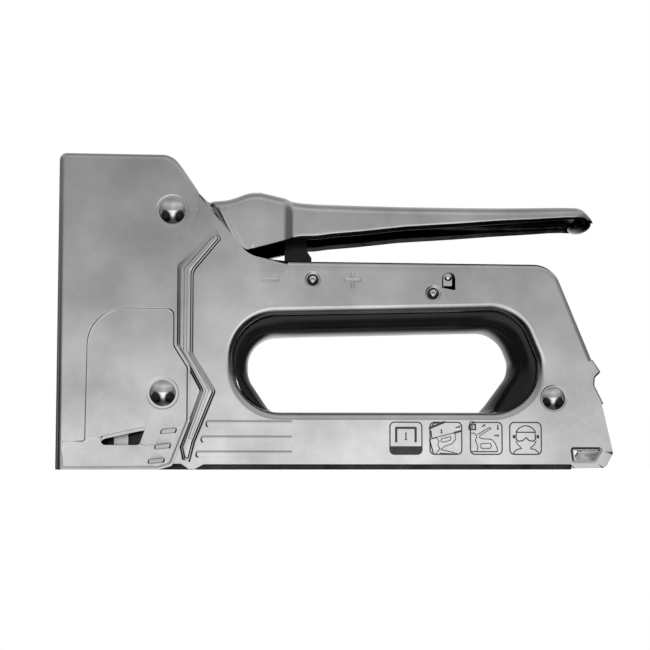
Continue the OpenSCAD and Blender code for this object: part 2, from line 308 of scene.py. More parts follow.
materials = {
    "plated": steel("platedSteel", (0.5, 0.72), (0.17, 0.25), wave=0.3, scratch=0.03),
    "worn": steel("satinSteel", (0.6, 0.72), (0.24, 0.36), wave=0.3, scratch=0.03),
    "polished": steel("polishedSteel", (0.74, 0.84), (0.07, 0.15), wave=0.05),
    "hardened": steel("hardenedSteel", (0.2, 0.33), (0.28, 0.45), (1, 1, 0.1)),
    "wire": steel("drawnWire", (0.42, 0.58), (0.2, 0.32)),
    # dark steel as painted shade: it stands in for the shade inside the tool, under the handle, in
    # the pin holes and under the base
    "dark": coating("paintedShadeSteel", {
        "metal": 1, "shine": 0.5, "cloud": (120, 5), "tones": (0.012, 0.05), "rough": (0.12, 0.3),
        "grain": (320, 3), "bump": (0.35, 0.0003),
    }),
    "black": coating("blackPlastic", {
        "metal": 0, "shine": 0.3, "cloud": (60, 3), "tones": (0.004, 0.008), "rough": (0.14, 0.26),
        "grain": (1500, 3), "bump": (0.08, 0.00003),
    }),
    "rubber": coating("mattRubber", {
        "metal": 0, "shine": 0.5, "cloud": (250, 4), "tones": (0.012, 0.03), "rough": (0.6, 0.85),
        "grain": (250, 4), "bump": (0.3, 0.0001),
    }),
    "print": coating("blackPrint", {
        "metal": 0, "shine": 0.5, "cloud": (1400, 4), "tones": (0.012, 0.05), "rough": (0.35, 0.6),
    }),
}
# the CAD nodes that keep their shape, by finish
cadFinish = {
    "hardened": [
        "nose_plate", "spacer_bushes", "spring_cap", "lever_pin", "pivot_bush", "plunger",
        "blade_pin", "end_cap_rivet",
    ],
    # painted shade: the inner parts are dark for the shade inside the tool, the pin ends for the
    # shade in their holes, and the rail for the shadow under the base
    "dark": [
        "magazine_channel", "striker_guide", "lift_lever", "slide_rail", "power_adjuster",
        "lock_pin",
    ],
    "polished": ["driver_blade", "lock_latch"],
    "wire": ["slide_catch", "guide_rod"],
    "plated": ["slide_end_cap"],
    "worn": ["staple_pusher"],
    "rubber": ["bumper"],
    "black": ["catch_tongue"],
}
for finishName, nodeNames in cadFinish.items():
    for nodeName in nodeNames:
        slots = nodes[nodeName].material_slots
        if not slots:
            nodes[nodeName].data.materials.append(None)
        for slot in slots:
            slot.material = materials[finishName]
print("materials ready")


# helpers that draw, press, fill and finish sheet metal
weld = 0.000002         # metres
seam = 0.00001
bead = {"sharpest": 0.5, "endRound": 0.45}
foldSegments = 6
finishing = {"edgeSegments": 2, "edgeAngle": 50, "shadingWeight": 60}
outlinesOnly = 1        # triangles inside the outlines, not across the hull
closeness = 1e-5


def roundedOutline(corners, segments=7):
    # each corner is (x, z, radius) in millimetres, in order round the shape
    bm = bmesh.new()
    verts = [bm.verts.new((x, 0, z)) for x, z, radius in corners]
    bm.faces.new(verts)
    for vert, (x, z, radius) in zip(verts, corners):
        if radius > 0:
            a, b = [e.other_vert(vert).co - vert.co for e in vert.link_edges]
            bmesh.ops.bevel(bm, geom=[vert], offset=radius / tan(a.angle(b) / 2), segments=segments,
                            profile=0.5, affect="VERTICES", material=-1)
    bm.faces.ensure_lookup_table()
    points = [(v.co.x, v.co.z) for v in bm.faces[0].verts]
    bm.free()
    return points


def circle(at, diameter, steps=36):
    turns = [2 * pi * i / steps for i in range(steps)]
    return [(at[0] + diameter / 2 * cos(a), at[1] + diameter / 2 * sin(a)) for a in turns]


def beadCorners(path, width, radius):
    # the outline of a pressed bead that follows a path of (x, z) points
    points = [Vector(p) for p in path]
    right, left = [], []
    for i, point in enumerate(points):
        ins = (points[i] - points[i - 1]).normalized() if i else None
        out = (points[i + 1] - points[i]).normalized() if i + 1 < len(points) else None
        along = ((ins or out) + (out or ins)).normalized()
        normal = Vector((along.y, -along.x))
        reach = width / 2 / max(bead["sharpest"], along.dot(out or ins))
        bend = radius if ins and out else width * bead["endRound"]
        right.append((*(point + normal * reach), bend))
        left.append((*(point - normal * reach), bend))
    return right + left[::-1]


def addFace(bm, points, y):
    return bm.faces.new([bm.verts.new((x * mm, y * mm, z * mm)) for x, z in points])


def addLoop(bm, points, y):
    face = addFace(bm, points, y)
    edges = list(face.edges)
    bm.faces.remove(face)
    return edges


def press(bm, face, steps):
    # each step insets the face and moves it out (or, below zero, in), in millimetres
    for inset, depth in steps:
        bmesh.ops.inset_region(bm, faces=[face], thickness=inset * mm, depth=depth * mm,
                               use_even_offset=True, use_boundary=True)


def quarterRound(radius, steps):
    # rolls an edge inwards by a quarter turn
    angles = [pi / 2 * i / steps for i in range(steps + 1)]
    return [(radius * (sin(b) - sin(a)), radius * (cos(b) - cos(a)))
            for a, b in zip(angles, angles[1:])]


def softStep(height, width, steps=5):
    # a smooth S-shaped step
    levels = [0.5 - 0.5 * cos(pi * i / steps) for i in range(steps + 1)]
    return [(width / steps, height * (b - a)) for a, b in zip(levels, levels[1:])]


def pressed(bm, loops, points, y, steps, hole=False, inside=(), rim=0.12):
    # one pressed feature in the sheet at y, with its own features inside it
    face = addFace(bm, points, y)
    corners = {tuple(v.co) for v in face.verts}
    press(bm, face, ([(rim, 0.0)] if rim else []) + steps)
    # the press leaves the face's own edges inside, so the outline's are found by place
    loops.extend(e for e in bm.edges
                 if e.is_boundary and all(tuple(v.co) in corners for v in e.verts))
    if inside:
        level = y - sum(depth for inset, depth in steps)
        inner = list(face.edges)
        bm.faces.remove(face)
        for childPoints, *childRest in inside:
            pressed(bm, inner, childPoints, level, *childRest)
        fill(bm, inner)
    elif hole:
        bm.faces.remove(face)


def fill(bm, edges):
    # even triangles between the loops, none inside a loop that lies within another
    bm.verts.index_update()
    verts = sorted({v for e in edges for v in e.verts}, key=lambda v: v.index)
    place = {v: i for i, v in enumerate(verts)}
    points = [Vector((v.co.x, v.co.z)) / mm for v in verts]
    pairs = [(place[e.verts[0]], place[e.verts[1]]) for e in edges]
    found = delaunay_2d_cdt(points, pairs, [], outlinesOnly, closeness, True)
    flat, triangles, source = found[0], found[2], found[3]
    for triangle in triangles:
        corners = [source[i] for i in triangle]
        if not all(corners):
            continue
        middle = sum((flat[i] for i in triangle), Vector((0, 0))) / 3
        crossed = 0
        for i, j in pairs:
            a, b = points[i], points[j]
            if (a.y > middle.y) != (b.y > middle.y):
                crossed += middle.x < a.x + (middle.y - a.y) * (b.x - a.x) / (b.y - a.y)
        if crossed % 2:
            bm.faces.new([verts[c[0]] for c in corners])


def largestFace(bm):
    return max(bm.faces, key=lambda f: f.calc_area())


def mirrorToRight(bm):
    for vert in bm.verts:
        vert.co.y = -vert.co.y
    bmesh.ops.reverse_faces(bm, faces=bm.faces)


def mirrorAcross(bm, distance):
    # the right half from the left one, welded along the middle
    bmesh.ops.mirror(bm, geom=bm.verts[:] + bm.edges[:] + bm.faces[:], axis="Y", merge_dist=seam)
    bmesh.ops.remove_doubles(bm, verts=bm.verts, dist=distance)


def facesOut(bm, test):
    # one way round for all faces, so that those across the test direction look along it
    bmesh.ops.recalc_face_normals(bm, faces=bm.faces)
    best = max(bm.faces, key=lambda f: f.calc_area() * abs(f.normal.dot(Vector(test))))
    if best.normal.dot(Vector(test)) < 0:
        bmesh.ops.reverse_faces(bm, faces=bm.faces)


def finishPiece(name, bm, finish, body, replaced=(), wall=0.0, edge=0.0, crease=32,
                inner=None):
    # wall and edge are in millimetres, and inner is the finish of a wall's inside
    mesh = bpy.data.meshes.new(name)
    bm.to_mesh(mesh)
    bm.free()
    mesh.materials.append(materials[finish])
    if inner:
        mesh.materials.append(materials[inner])
    piece = bpy.data.objects.new(name, mesh)
    bpy.context.scene.collection.objects.link(piece)
    mesh.polygons.foreach_set("use_smooth", [True] * len(mesh.polygons))
    if wall:
        solid = piece.modifiers.new("wall", "SOLIDIFY")
        solid.thickness = wall * mm
        solid.offset = -1
        solid.material_offset = 1 if inner else 0
    if edge:
        soften = piece.modifiers.new("edges", "BEVEL")
        soften.width = edge * mm
        soften.segments = finishing["edgeSegments"]
        soften.limit_method = "ANGLE"
        soften.angle_limit = radians(finishing["edgeAngle"])
        soften.use_clamp_overlap = True
    else:
        mesh.set_sharp_from_angle(angle=radians(crease))
    even = piece.modifiers.new("shading", "WEIGHTED_NORMAL")
    even.keep_sharp = True
    even.weight = finishing["shadingWeight"]
    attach(piece, body)
    if replaced:
        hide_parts(*replaced)
    return piece        # only the springs' is used, to give them meshes of their own


# the two body shells
shell = {
    "half": 13.0,
    "sheet": 1.1,
    "edge": 0.12,
    "meeting": 0.08,        # gap between the two shells' flanges
    "fold": 2.0,
    "tailFold": 0.7,
    "topFrom": (-26, 69),   # the folded top lies behind this x and above this z
    "tailFrom": 70,
    "tailSpan": (17, 37.6),
    # a press is a list of (inset, depth) steps
    "lipPress": quarterRound(2.6, 9) + [(0.01, -2), (0.01, -6.5)],
    "outline": [
        (-91.5, 2, 0), (-51.8, 2, 0.5), (-49.2, 0.2, 0.5), (-47.4, 0.2, 0.5), (-44.5, 1.8, 1),
        (78, 1.8, 0.6), (80, 0.4, 0.6), (89.8, 0.4, 2.2), (92.6, 5.5, 2), (89.6, 22.5, 3),
        (86.7, 28.4, 1.2), (86.9, 31, 0.8), (89, 33, 0.8), (86.2, 37, 1.5), (73, 69.6, 9),
        (-16, 69.7, 20), (-29.6, 71, 8), (-57, 103.6, 5), (-91.5, 103.6, 1.5),
    ],
    # the finger opening, at the outer rim of its rolled lip
    "opening": [
        (-37.4, 16.4, 18), (61.7, 16.6, 17.6), (72.1, 32, 15.5), (62, 56.2, 15), (-37.4, 53.5, 17),
    ],
    # the band of ridges behind the nose cover
    "band": [
        (-48.8, 2.3, 0), (-47.2, 8.9, 0), (-40.4, 26, 1.8), (-48, 38.3, 3), (-47.9, 65.5, 3),
        (-38.9, 76.5, 0), (-41, 80.7, 0), (-53.6, 67.4, 3), (-53.5, 40.2, 3), (-45.9, 26.1, 1),
        (-52.3, 7.5, 0), (-51.5, 3.3, 0),
    ],
    "bandPress": softStep(0.3, 0.7, 4) + [(0.1, 0.0)] + softStep(0.3, 0.5, 3),
    "groove": [(-41.3, 77.2), (-50.7, 66.4), (-50.7, 39.2), (-43.3, 26.1), (-49.0, 10.0)],
    "grooveWidth": 1.1,
    "grooveBend": 1.2,
    "groovePress": [(0.14, -0.2), (0.16, -0.36)],
    # middle height and nose end of each flute
    "flutes": [(15.05, -44.0), (10.0, -45.6), (5.05, -47.2)],
    "fluteEnd": -14.5,
    "fluteHeight": 2.6,
    "fluteRound": 0.9,      # of half the height
    "flutePress": softStep(0.22, 0.75, 4),
    "fluteFade": (-29, 3, -14, 17),
    "fadeLength": 12,
    "minus": (-25.6, 62.6, -19.9, 63.9),
    "plus": ((4.7, 63.4), 2.85, 0.6),
    "markPress": [(0.14, 0.12), (0.1, 0.0), (0.12, -0.1)],
    "rearRivet": (72.5, 23.9),
    "rivetDimple": 9.2,
    "rivetPress": softStep(-0.12, 0.45, 3),
    "adjuster": (-8.6, 63.3),
    "lockPin": (31.9, 59.1),
    "pinDimple": 5.6,
    "pinPress": softStep(-0.2, 0.7, 4) + [(0.1, 0.0), (0.02, -1)],
    "window": [(-78.2, 8, 1.5), (-65.3, 8, 1.2), (-63.1, 14.25, 1), (-77.4, 11.05, 1.3)],
    "windowPress": [(0.05, -0.3)],
    "rearSlot": [(78.6, 2.2, 1.15), (86.4, 2.2, 1.15), (90.0, 7.6, 1.15), (77.9, 7.6, 1.15)],
    "rearPress": softStep(-0.3, 0.8, 5) + [(0.02, -0.9)],
    "lockSlot": [(34.9, 61, 0.3), (39.4, 60.2, 0.3), (39.4, 66.2, 2), (34.9, 66.2, 2)],
    "lockPress": [(0.08, -0.08), (0.02, -0.9)],
}


def plusCorners(at, reach, half):
    x, z = at
    quarter = [(reach, -half), (reach, half), (half, half)]
    corners = []
    for turn in range(4):
        corners += [(x + a, z + b, 0) for a, b in quarter]
        quarter = [(-b, a) for a, b in quarter]
    return corners


def rectangle(x0, z0, x1, z1, radius):
    return [(x0, z0, radius), (x1, z0, radius), (x1, z1, radius), (x0, z1, radius)]


def foldOver(bm, outline, y, flange, folds):
    # the outline's face, with some of its edges bent back, each group of them by its own radius
    outer = addFace(bm, roundedOutline(outline), y)
    groups = [[e for e in outer.edges if test((e.verts[0].co + e.verts[1].co) / 2 / mm)]
              for test, radius in folds]
    made = bmesh.ops.extrude_edge_only(bm, edges=sum(groups, []))
    bmesh.ops.translate(bm, verts=[g for g in made["geom"] if isinstance(g, bmesh.types.BMVert)],
                        vec=(0, flange * mm, 0))
    for group, (test, radius) in zip(groups, folds):
        bmesh.ops.bevel(bm, geom=[e for e in group if e.is_valid], offset=radius * mm,
                        segments=foldSegments, profile=0.5, affect="EDGES", clamp_overlap=False,
                        material=-1)
    side = largestFace(bm)
    loops = list(side.edges)
    bm.faces.remove(side)
    return loops


def buildShell(left):
    bm = bmesh.new()
    y = -shell["half"]
    topX, topZ = shell["topFrom"]
    tailX = shell["tailFrom"]
    tailLow, tailHigh = shell["tailSpan"]
    loops = foldOver(bm, shell["outline"], y, shell["half"] - shell["meeting"], [
        (lambda p: (p.z > topZ and p.x > topX) or (p.x > tailX and p.z > tailHigh), shell["fold"]),
        (lambda p: p.x > tailX and tailLow < p.z <= tailHigh, shell["tailFold"]),
    ])

    # rolled lip and inner flange of the finger opening
    pressed(bm, loops, roundedOutline(shell["opening"], 12), y, shell["lipPress"], hole=True)

    path = beadCorners(shell["groove"], shell["grooveWidth"], shell["grooveBend"])
    groove = (roundedOutline(path, 4), shell["groovePress"], False, (), 0)
    pressed(bm, loops, roundedOutline(shell["band"], 5), y, shell["bandPress"], inside=[groove])
    for level, start in shell["flutes"]:
        half = shell["fluteHeight"] / 2
        corners = rectangle(start, level - half, shell["fluteEnd"], level + half,
                            half * shell["fluteRound"])
        pressed(bm, loops, roundedOutline(corners), y, shell["flutePress"])
    for corners in (rectangle(*shell["minus"], 0), plusCorners(*shell["plus"])):
        pressed(bm, loops, roundedOutline(corners), y, shell["markPress"])
    for at in (shell["adjuster"], shell["lockPin"]):
        pressed(bm, loops, circle(at, shell["pinDimple"]), y, shell["pinPress"], hole=True)
    pressed(bm, loops, circle(shell["rearRivet"], shell["rivetDimple"]), y, shell["rivetPress"])
    pressed(bm, loops, roundedOutline(shell["window"]), y, shell["windowPress"], hole=True, rim=0)
    pressed(bm, loops, roundedOutline(shell["rearSlot"]), y, shell["rearPress"], hole=True)
    if left:
        pressed(bm, loops, roundedOutline(shell["lockSlot"]), y, shell["lockPress"], hole=True)
    fill(bm, loops)
    x0, z0, x1, z1 = shell["fluteFade"]
    for vert in bm.verts:
        # the flutes run out towards the tail
        x, z = vert.co.x / mm, vert.co.z / mm
        if x0 < x < x1 and z0 < z < z1 and vert.co.y < (y - 0.01) * mm:
            fade = max(0.0, min(1.0, (shell["fluteEnd"] - x) / shell["fadeLength"]))
            vert.co.y = y * mm + (vert.co.y - y * mm) * fade
    facesOut(bm, (0, -1, 0))
    if not left:
        mirrorToRight(bm)
    name = "leftShellPressing" if left else "rightShellPressing"
    replaced = ["left_shell"] if left else ["right_shell"]
    # the shells' inner faces get the dark steel: painted shade inside the tool
    finishPiece(name, bm, "plated", "frame", replaced, wall=shell["sheet"],
                edge=shell["edge"], inner="dark")


buildShell(True)
buildShell(False)
print("shells ready")


# the nose cover
cover = {
    "half": 14.05,
    "sheet": 0.95,
    "edge": 0.25,
    "fold": 2.3,
    "frontTo": (-90, 0.1),      # the front wrap: nearer the nose than x, above z
    "topFrom": (-53.5, 101.5),  # the top: before x, above z
    "outline": [
        (-92.65, 0, 0), (-59.3, 0, 0.8), (-54.6, 1.3, 1.5), (-49, 16, 2), (-49, 34, 2.5),
        (-53.4, 41, 2.5), (-53.4, 68.5, 4), (-46.4, 86.2, 3), (-46.7, 92.2, 0.4), (-55.2, 105, 6),
        (-92.65, 105, 2.5),
    ],
    "panel": [
        (-90.3, 0.6, 0), (-59.6, 0.6, 1.2), (-55.1, 1.9, 1.2), (-49.6, 16.2, 1.5), (-49.6, 33.6, 2),
        (-54.1, 40.8, 2), (-54.1, 53.2, 2.5), (-82.7, 53.5, 12.5), (-83.2, 9.6, 0.5),
        (-90.3, 9.6, 0),
    ],
    "panelDepth": -0.22,
    "pivot": (-55.2, 85.6),
    "pivotDimple": 11.2,
    "pivotPress": softStep(-0.12, 0.5, 3),
    "front": (-57.9, 25.1),
    "frontDimple": 11,
    "frontPress": softStep(-0.1, 0.5, 3),
    "windowPress": [(0.1, -0.08), (0.02, -0.8)],
    # lower left and upper right corners
    "louvres": [(-59.0, 11.2, -52.6, 13.9), (-60.9, 6.2, -54.4, 8.9), (-63.0, 1.5, -56.4, 4.1)],
    "louvreRound": 0.9,
    "louvrePress": softStep(0.5, 0.55, 4),
    "louvreLean": 0.75,
    "louvreLip": 0.6,
    "louvreLeast": 0.2,     # what stands less proud than this doesn't lean
    "sideBeyond": 13.8,
}


def louvreCorners(x0, z0, x1, z1):
    # a rectangle with its ends skewed towards the tail
    skewed = [(x0, z0), (x1 - 0.9, z0 + 0.6), (x1, z1 + 0.2), (x0 + 0.7, z1 - 0.5)]
    return [(x, z, cover["louvreRound"]) for x, z in skewed]


def buildCover():
    bm = bmesh.new()
    y = -cover["half"]
    (frontX, frontZ), (topX, topZ) = cover["frontTo"], cover["topFrom"]
    loops = foldOver(bm, cover["outline"], y, cover["half"], [
        (lambda p: (p.x < frontX and p.z > frontZ) or (p.z > topZ and p.x < topX), cover["fold"]),
    ])
    pressed(bm, loops, circle(cover["pivot"], cover["pivotDimple"]), y, cover["pivotPress"])
    inside = [(roundedOutline(shell["window"]), cover["windowPress"], True),
              (circle(cover["front"], cover["frontDimple"]), cover["frontPress"])]
    inside += [(roundedOutline(louvreCorners(*place), 5), cover["louvrePress"])
               for place in cover["louvres"]]
    pressed(bm, loops, roundedOutline(cover["panel"], 9), y,
            softStep(cover["panelDepth"], 0.6, 4), inside=inside)
    fill(bm, loops)
    lip = cover["louvreLip"]
    for vert in bm.verts:
        # each louvre leans down from its upper edge
        for x0, z0, x1, z1 in cover["louvres"]:
            proud = (y - cover["panelDepth"]) * mm - vert.co.y
            x, z = vert.co.x / mm, vert.co.z / mm
            if proud > cover["louvreLeast"] * mm and x0 < x < x1 and z0 < z < z1:
                lean = 1 - max(0.0, min(1.0, (z - z0 - lip) / (z1 - z0 - 2 * lip)))
                vert.co.y += proud * cover["louvreLean"] * lean
    mirrorAcross(bm, seam)
    bmesh.ops.recalc_face_normals(bm, faces=bm.faces)
    side = (f for f in bm.faces if f.calc_center_median().y < -cover["sideBeyond"] * mm)
    if max(side, key=lambda f: f.calc_area()).normal.y > 0:
        bmesh.ops.reverse_faces(bm, faces=bm.faces)
    # the cover's inner faces get the dark steel: painted shade inside the nose
    finishPiece("noseCoverPressing", bm, "plated", "frame", ["nose_cover"],
                wall=cover["sheet"], edge=cover["edge"], inner="dark")


buildCover()
print("nose cover ready")


# rivets and pins
rivets = [
    # name, place, head diameter, head height, seat, replaced node
    ("pivotRivetDome", (-55.2, 85.6), 8.8, 2.4, 13.7, "pivot_rivet"),
    ("frontRivetDome", (-57.9, 25.1), 8.6, 2.4, 13.5, "front_rivet"),
    ("rearRivetDome", (72.5, 23.9), 7.9, 2.2, 12.7, "rear_rivet"),
]
rivetShape = {"shank": 2.95, "rim": 0.25, "undercut": 0.1, "rings": 14, "around": 40}
caps = [
    # name, place, seat, radius, height, dimple, body
    ("adjusterEnd", shell["adjuster"], 13.27, 1.35, 0.5, 0.3, "adjuster"),
    ("lockPinEnd", shell["lockPin"], 13.27, 1.35, 0.5, 0.3, "frame"),
    ("lockKnob", (36.9, 64.5), 13.1, 1.35, 0.8, 0.0, "lock"),
]
capShape = {"dimpleShare": 0.42, "fullness": 2.4, "shoulder": 0.02, "undercut": 0.05, "rings": 10,
            "around": 28}


def spunSection(section, seat, around):
    # (radius, height) points above the seat, turned about Y on the left side
    bm = bmesh.new()
    verts = [bm.verts.new((r * mm, -(seat + h) * mm, 0)) for r, h in section]
    edges = [bm.edges.new(pair) for pair in zip(verts, verts[1:])]
    bmesh.ops.spin(bm, geom=verts + edges, cent=(0, 0, 0), axis=(0, 1, 0), angle=2 * pi,
                   steps=around, use_merge=True)
    bmesh.ops.remove_doubles(bm, verts=bm.verts, dist=weld)
    return bm


def putAt(bm, at):
    bmesh.ops.translate(bm, verts=bm.verts, vec=(at[0] * mm, 0, at[1] * mm))
    bmesh.ops.recalc_face_normals(bm, faces=bm.faces)


def buildRivet(name, at, diameter, height, seat, replaced):
    # half a section through one head and the shank, spun, then mirrored to the other side
    radius, rim, rings = diameter / 2, rivetShape["rim"], rivetShape["rings"]
    # a part of a sphere above a short upright rim
    ball = (radius ** 2 + (height - rim) ** 2) / 2 / (height - rim)
    section = [(rivetShape["shank"], -seat), (rivetShape["shank"], 0.0),
               (radius - rivetShape["undercut"], 0.0)]
    for i in range(rings + 1):
        r = radius * cos(pi / 2 * i / rings)
        section.append((r, rim + (ball ** 2 - r ** 2) ** 0.5 - ball + height - rim))
    bm = spunSection(section, seat, rivetShape["around"])
    mirrorAcross(bm, weld)
    putAt(bm, at)
    finishPiece(name, bm, "polished", "frame", [replaced], crease=50)


for rivet in rivets:
    buildRivet(*rivet)
print("rivets ready")


def buildCap(name, at, seat, radius, height, dimple, body):
    # a small domed end with a centre dimple, on the left side
    section = [(radius - capShape["undercut"], 0)]
    for i in range(capShape["rings"] + 1):
        r = radius * (1 - i / capShape["rings"])
        lift = height * (1 - (r / radius) ** capShape["fullness"]) ** 0.5
        sunk = dimple * max(0.0, 1 - (r / radius / capShape["dimpleShare"]) ** 2)
        section.append((r, lift - sunk + capShape["shoulder"]))
    bm = spunSection(section, seat, capShape["around"])
    bmesh.ops.holes_fill(bm, edges=[e for e in bm.edges if e.is_boundary], sides=0)
    putAt(bm, at)
    finishPiece(name, bm, "polished", body, crease=50)


for cap in caps:
    buildCap(*cap)


# printed signs along the base: a staple, loading, locking and goggles
signs = {
    "left": [16.9, 30.3, 43.9, 57.2],
    "low": 4.9,
    "size": 11.1,
    "corner": 1.7,
    "line": 0.42,
    "ink": 0.03,
    "overprint": 0.002,     # how far a shape that overlaps a line stands above it
    "strokeBend": 0.12,
    "footGap": 0.3,         # the filled foot of the first sign
    "footTop": 2.9,
    "arrowWidth": 0.4,      # a short straight stroke of this width ends in an arrow head
    "arrowLongest": 1.7,
    "staple": [(2.3, 4.1), (2.3, 9.0), (8.8, 9.0), (8.8, 4.1)],
    "drive": [(5.55, 7.6), (5.55, 5.3)],
    "loading": [
        (0.75, [(30.1, 13.7), (35.7, 16.0)]),
        (0.45, [(31.2, 14.7), (31.9, 15.5), (33.3, 15.6)]),
        (0.4, [(30.8, 13.1), (31.1, 10.5)]),
        (0.3, [(31.1, 10.4), (38.4, 12.2)]),
        (0.7, [(38.4, 12.2), (41.1, 12.9)]),
        (0.45, [(30.3, 10.1), (31.7, 5.1)]),
        (0.28, [(30.4, 10.1), (32.7, 10.6), (33.5, 9.6), (33.1, 8.3), (33.8, 6.9), (32.2, 5.1)]),
        (0.28, [(39.0, 12.0), (39.0, 9.9), (37.8, 8.6), (35.3, 7.7), (34.1, 6.7)]),
        (0.28, [(34.2, 6.7), (39.8, 5.3)]),
        (0.28, [(33.7, 5.5), (39.0, 5.2)]),
        (0.28, [
            (34.1, 10.0), (34.8, 10.4), (37.2, 11.0), (37.6, 10.7), (37.3, 9.8), (34.8, 9.1),
            (34.3, 9.4), (34.1, 9.9),
        ]),
        (0.4, [(39.1, 14.0), (40.3, 14.3)]),
        (0.4, [(34.3, 13.5), (34.4, 12.5)]),
    ],
    "locking": [
        (0.3, [(44.3, 12.2), (45.4, 12.2), (46.3, 11.3), (45.8, 9.8), (46.6, 7.7), (46.3, 6.2)]),
        (0.4, [(44.4, 6.0), (53.2, 6.0)]),
        (0.3, [(53.2, 6.0), (53.1, 7.4), (52.3, 9.0), (51.3, 10.1), (48.3, 10.3), (46.8, 10.8)]),
        (0.3, [(46.5, 11.7), (50.4, 14.0), (51.2, 13.8), (47.1, 11.2)]),
        (0.28, [
            (47.4, 8.0), (47.8, 8.7), (50.8, 8.8), (51.2, 8.0), (50.8, 7.1), (47.9, 7.1),
            (47.4, 7.8),
        ]),
        (0.4, [(47.9, 14.3), (48.8, 14.8)]),
        (0.4, [(53.4, 15.0), (53.4, 13.8)]),
        (0.4, [(52.1, 11.4), (53.3, 11.4)]),
        (0.35, [
            (45.4, 15.1), (45.4, 15.4), (45.3, 15.8), (45.0, 16.0), (44.6, 16.1), (44.3, 16.0),
            (44.0, 15.8), (43.9, 15.4), (43.9, 15.1),
        ]),
        (0.5, [(43.7, 15.0), (45.8, 15.0), (45.8, 13.4), (43.7, 13.4), (43.7, 14.9)]),
        (0.5, [(44.7, 14.6), (44.7, 13.8)]),
    ],
    "goggles": [
        (0.35, [
            (66.2, 12.6), (65.8, 13.2), (65.3, 13.7), (64.8, 14.1), (64.2, 14.4), (63.5, 14.6),
            (62.9, 14.7), (62.2, 14.6), (61.6, 14.4), (61.0, 14.1), (60.4, 13.7), (60.0, 13.2),
            (59.6, 12.6),
        ]),
        (0.4, [(59.3, 12.5), (66.4, 12.5)]),
        (0.4, [
            (59.7, 12.2), (59.5, 10.3), (60.3, 9.5), (61.8, 9.7), (62.9, 10.7), (64.0, 9.7),
            (65.5, 9.5), (66.2, 10.3), (66.0, 12.2),
        ]),
        (0.9, [(58.9, 11.7), (58.8, 10.4)]),
        (0.9, [(66.9, 11.7), (67.0, 10.4)]),
        (0.3, [(59.4, 9.7), (60.1, 8.3), (61.4, 7.2)]),
        (0.3, [(66.4, 9.7), (65.7, 8.3), (64.4, 7.2)]),
        (0.35, [(61.5, 7.1), (59.7, 6.7), (58.8, 5.8), (58.6, 5.2)]),
        (0.35, [(64.3, 7.1), (66.0, 6.7), (67.0, 5.8), (67.2, 5.2)]),
    ],
}


def arrowHead(path, size=0.55):
    tip, tail = Vector(path[-1]), Vector(path[-2])
    along = (tip - tail).normalized()
    across = Vector((-along.y, along.x))
    return [tuple(tip + along * size), tuple(tip + across * size), tuple(tip - across * size)]


def buildSigns():
    bm = bmesh.new()
    y = -shell["half"] - signs["ink"]
    for left in signs["left"]:
        square = []
        for gap in (0, signs["line"]):
            low, high = signs["low"] + gap, signs["low"] + signs["size"] - gap
            right = left + signs["size"] - gap
            corners = rectangle(left + gap, low, right, high, signs["corner"] - gap)
            square += addLoop(bm, roundedOutline(corners), y)
        fill(bm, square)

    def stroke(path, width):
        addFace(bm, roundedOutline(beadCorners(path, width, signs["strokeBend"]), 3), y)

    above = y - signs["overprint"]
    x0, z0 = signs["left"][0], signs["low"]
    low, top, bend = z0 + signs["footGap"], z0 + signs["footTop"], signs["corner"] * 0.8
    near, far = x0 + signs["footGap"], x0 + signs["size"] - signs["footGap"]
    foot = [(near, low, bend), (far, low, bend), (far, top, 0), (near, top, 0)]
    addFace(bm, roundedOutline(foot), above)
    for name, width in (("staple", 0.75), ("drive", 0.4)):
        path = [(x0 + x, z0 + z) for x, z in signs[name]]
        stroke(path, width)
        if name == "drive":
            addFace(bm, arrowHead(path), above)
    for name in ("loading", "locking", "goggles"):
        for width, path in signs[name]:
            stroke(path, width)
            length = (Vector(path[1]) - Vector(path[0])).length
            if width == signs["arrowWidth"] and len(path) == 2 and length < signs["arrowLongest"]:
                addFace(bm, arrowHead(path), above)
    facesOut(bm, (0, -1, 0))
    finishPiece("printedSigns", bm, "print", "frame", wall=0.05)


buildSigns()
print("pins and signs ready")


# the finger opening's liner
liner = {
    "halfWidth": 10.6,
    # against the shells, and the crown that the fingers touch
    "outer": [
        (-34.7, 19.1, 16), (60.3, 19.3, 15), (68.9, 32, 13), (60.3, 53.5, 12.5), (-34.7, 50.8, 15),
    ],
    "inner": [
        (46, 14, 0), (61.4, 34.5, 8), (56.5, 47.8, 10), (-30.3, 45.2, 10), (-30.3, 31, 8),
        (-19, 14, 0),
    ],
    "ends": ((49.5, 19.25), (-22, 19.15)),
    "openBelow": 19.6,
    "middle": (14, 34),
    "fullness": 2.6,
    "backing": 0.01,
    "along": 150,
    "across": 22,
}


def pathPoint(points, lengths, distance):
    for i in range(len(points) - 1):
        if distance <= lengths[i + 1]:
            t = (distance - lengths[i]) / max(1e-9, lengths[i + 1] - lengths[i])
            return points[i].lerp(points[i + 1], t)
    return points[-1]


